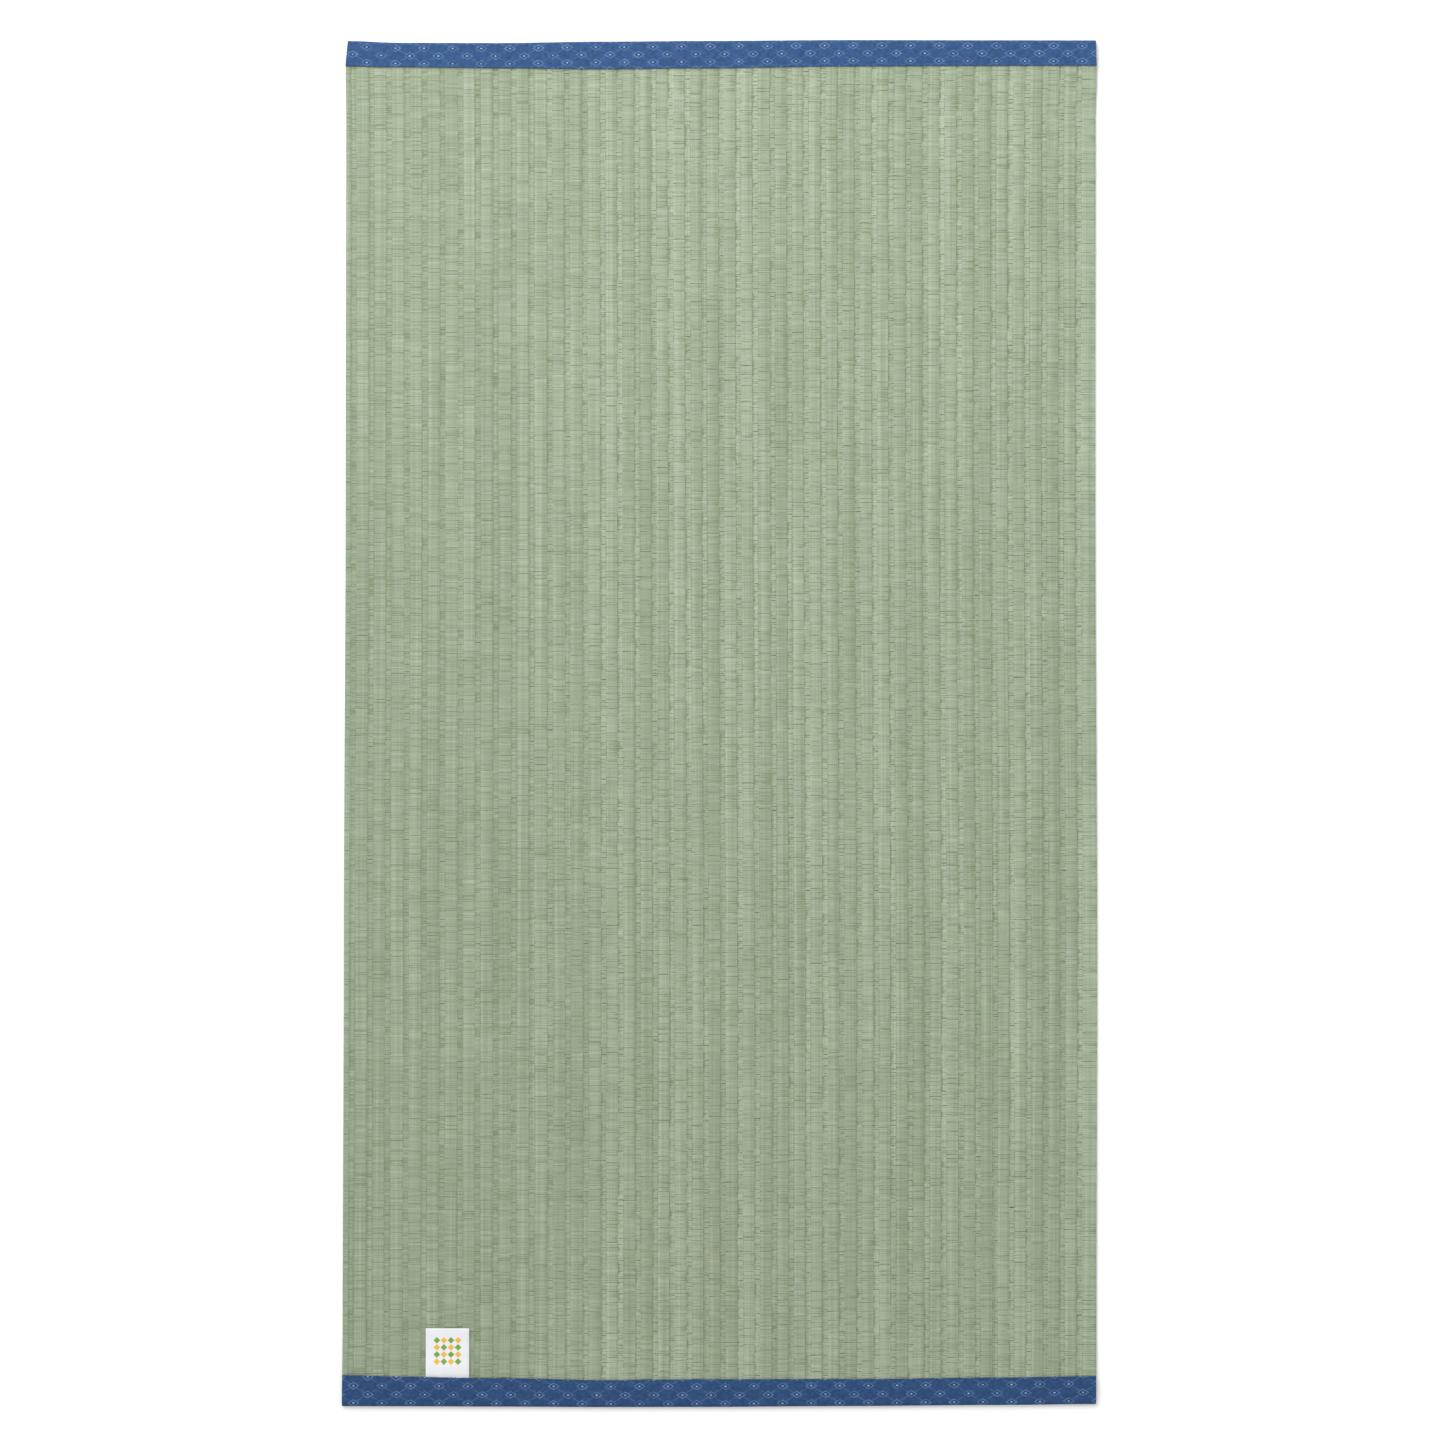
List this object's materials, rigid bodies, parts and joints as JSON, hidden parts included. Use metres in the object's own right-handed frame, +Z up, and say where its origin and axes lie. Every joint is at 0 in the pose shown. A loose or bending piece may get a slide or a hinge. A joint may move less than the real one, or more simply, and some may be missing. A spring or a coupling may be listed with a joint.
{
  "type": "tatami mat",
  "caption": "Flat ribbed mat of woven green rush for a floor, with a patterned blue cloth binding folded over each end and a small white label in one seam.",
  "frame": {"origin": "on the floor, under the middle of the mat's outline", "axes": "+X across the mat, +Y along its length away from the end with the label, +Z up"},
  "size_m": [0.6628, 1.2, 0.0063],
  "materials": {
    "green_rush": "matte",
    "blue_binding_cloth": "matte",
    "white_label_satin": "satin"
  },
  "bodies": {
    "root": {"rush_weave": "green_rush", "binding_head": "blue_binding_cloth", "binding_foot": "blue_binding_cloth", "label": "white_label_satin"}
  },
  "joints": []
}
